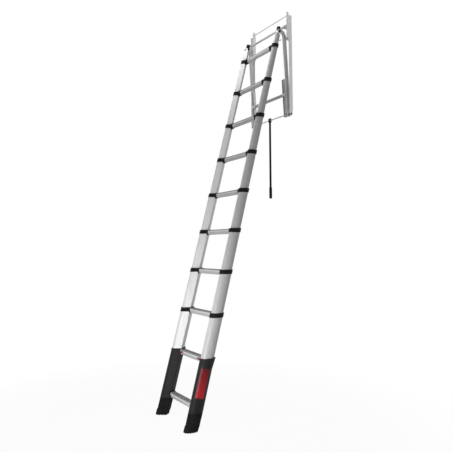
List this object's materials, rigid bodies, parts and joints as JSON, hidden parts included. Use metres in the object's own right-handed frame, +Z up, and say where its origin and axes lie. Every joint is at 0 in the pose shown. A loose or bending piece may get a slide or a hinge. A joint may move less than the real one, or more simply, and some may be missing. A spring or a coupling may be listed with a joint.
{
  "type": "telescopic loft ladder",
  "caption": "Telescopic ladder with nesting stile tubes, level rungs and locking collars, hung from a folding wall bracket with swing arms and a pull rod.",
  "frame": {"origin": "centre of the screw holes of the wall rails, in the plane of the wall", "axes": "+X along the rungs to the right, +Y into the wall, +Z up"},
  "size_m": [0.4922, 0.8456, 2.8535],
  "materials": {
    "stile_aluminium": "satin anodised extrusion",
    "rung_aluminium": "satin extrusion with ribbed tread",
    "rail_steel": "grey powder coat",
    "arm_steel": "dark grey powder coat",
    "zinc_wire": "zinc plated",
    "fastener_steel": "zinc plated",
    "black_plastic": "fine moulded grain",
    "shoe_rubber": "matt",
    "red_plastic": "smooth"
  },
  "bodies": {
    "wall_frame": {"wall_rail_left": "rail_steel", "wall_rail_right": "rail_steel", "tie_rod": "zinc_wire", "cross_bar": "arm_steel", "pivot_rivets": "fastener_steel"},
    "swing_frame": {"swing_arm_left": "arm_steel", "swing_arm_right": "arm_steel", "cross_frame": "arm_steel", "pull_bar": "zinc_wire", "hinge_bolts": "fastener_steel"},
    "pull_rod": {"pull_rod": "black_plastic", "rod_grip": "black_plastic"},
    "section_1": {"stile_1_left": "stile_aluminium", "stile_1_right": "stile_aluminium", "collars_1": "black_plastic", "rung_1": "rung_aluminium", "top_post_left": "stile_aluminium", "top_post_right": "stile_aluminium", "end_caps": "black_plastic", "wire_hook": "zinc_wire"},
    "section_2": {"stile_2_left": "stile_aluminium", "stile_2_right": "stile_aluminium", "collars_2": "black_plastic", "rung_2": "rung_aluminium"},
    "section_3": {"stile_3_left": "stile_aluminium", "stile_3_right": "stile_aluminium", "collars_3": "black_plastic", "rung_3": "rung_aluminium"},
    "section_4": {"stile_4_left": "stile_aluminium", "stile_4_right": "stile_aluminium", "collars_4": "black_plastic", "rung_4": "rung_aluminium"},
    "section_5": {"stile_5_left": "stile_aluminium", "stile_5_right": "stile_aluminium", "collars_5": "black_plastic", "rung_5": "rung_aluminium"},
    "section_6": {"stile_6_left": "stile_aluminium", "stile_6_right": "stile_aluminium", "collars_6": "black_plastic", "rung_6": "rung_aluminium"},
    "section_7": {"stile_7_left": "stile_aluminium", "stile_7_right": "stile_aluminium", "collars_7": "black_plastic", "rung_7": "rung_aluminium"},
    "section_8": {"stile_8_left": "stile_aluminium", "stile_8_right": "stile_aluminium", "collars_8": "black_plastic", "rung_8": "rung_aluminium"},
    "section_9": {"stile_9_left": "stile_aluminium", "stile_9_right": "stile_aluminium", "base_cover_left": "black_plastic", "base_cover_right": "black_plastic", "shoe_left": "shoe_rubber", "shoe_right": "shoe_rubber", "rung_9": "rung_aluminium", "rung_10": "rung_aluminium"},
    "release_left": {"release_button_left": "red_plastic", "lock_pin_left": "fastener_steel"},
    "release_right": {"release_button_right": "red_plastic", "lock_pin_right": "fastener_steel"}
  },
  "joints": [
    {"name": "arm_swing", "type": "hinge", "parent": "wall_frame", "child": "swing_frame", "pos_m": [0, -0.016, -0.383], "axis": [1, 0, 0], "range_deg": [0, 70]},
    {"name": "rod_swing", "type": "hinge", "parent": "swing_frame", "child": "pull_rod", "pos_m": [0, -0.02604, -0.38261], "axis": [1, 0, 0], "range_deg": [-40, 3]},
    {"name": "ladder_tilt", "type": "hinge", "parent": "swing_frame", "child": "section_1", "pos_m": [0, -0.095, 0.233], "axis": [1, 0, 0], "range_deg": [-75, 12]},
    {"name": "section_2_slide", "type": "slide", "parent": "section_1", "child": "section_2", "axis": [0, 0.2521, 0.9677], "range_m": [0, 0.237]},
    {"name": "section_3_slide", "type": "slide", "parent": "section_2", "child": "section_3", "axis": [0, 0.2521, 0.9677], "range_m": [0, 0.237]},
    {"name": "section_4_slide", "type": "slide", "parent": "section_3", "child": "section_4", "axis": [0, 0.2521, 0.9677], "range_m": [0, 0.237]},
    {"name": "section_5_slide", "type": "slide", "parent": "section_4", "child": "section_5", "axis": [0, 0.2521, 0.9677], "range_m": [0, 0.237]},
    {"name": "section_6_slide", "type": "slide", "parent": "section_5", "child": "section_6", "axis": [0, 0.2521, 0.9677], "range_m": [0, 0.237]},
    {"name": "section_7_slide", "type": "slide", "parent": "section_6", "child": "section_7", "axis": [0, 0.2521, 0.9677], "range_m": [0, 0.237]},
    {"name": "section_8_slide", "type": "slide", "parent": "section_7", "child": "section_8", "axis": [0, 0.2521, 0.9677], "range_m": [0, 0.237]},
    {"name": "section_9_slide", "type": "slide", "parent": "section_8", "child": "section_9", "axis": [0, 0.2521, 0.9677], "range_m": [0, 0.237]},
    {"name": "release_left_slide", "type": "slide", "parent": "section_9", "child": "release_left", "axis": [1, 0, 0], "range_m": [-0.009, 0], "stiffness_N_per_m": 250, "springref_m": -0.009},
    {"name": "release_right_slide", "type": "slide", "parent": "section_9", "child": "release_right", "axis": [-1, 0, 0], "range_m": [-0.009, 0], "stiffness_N_per_m": 250, "springref_m": -0.009}
  ]
}
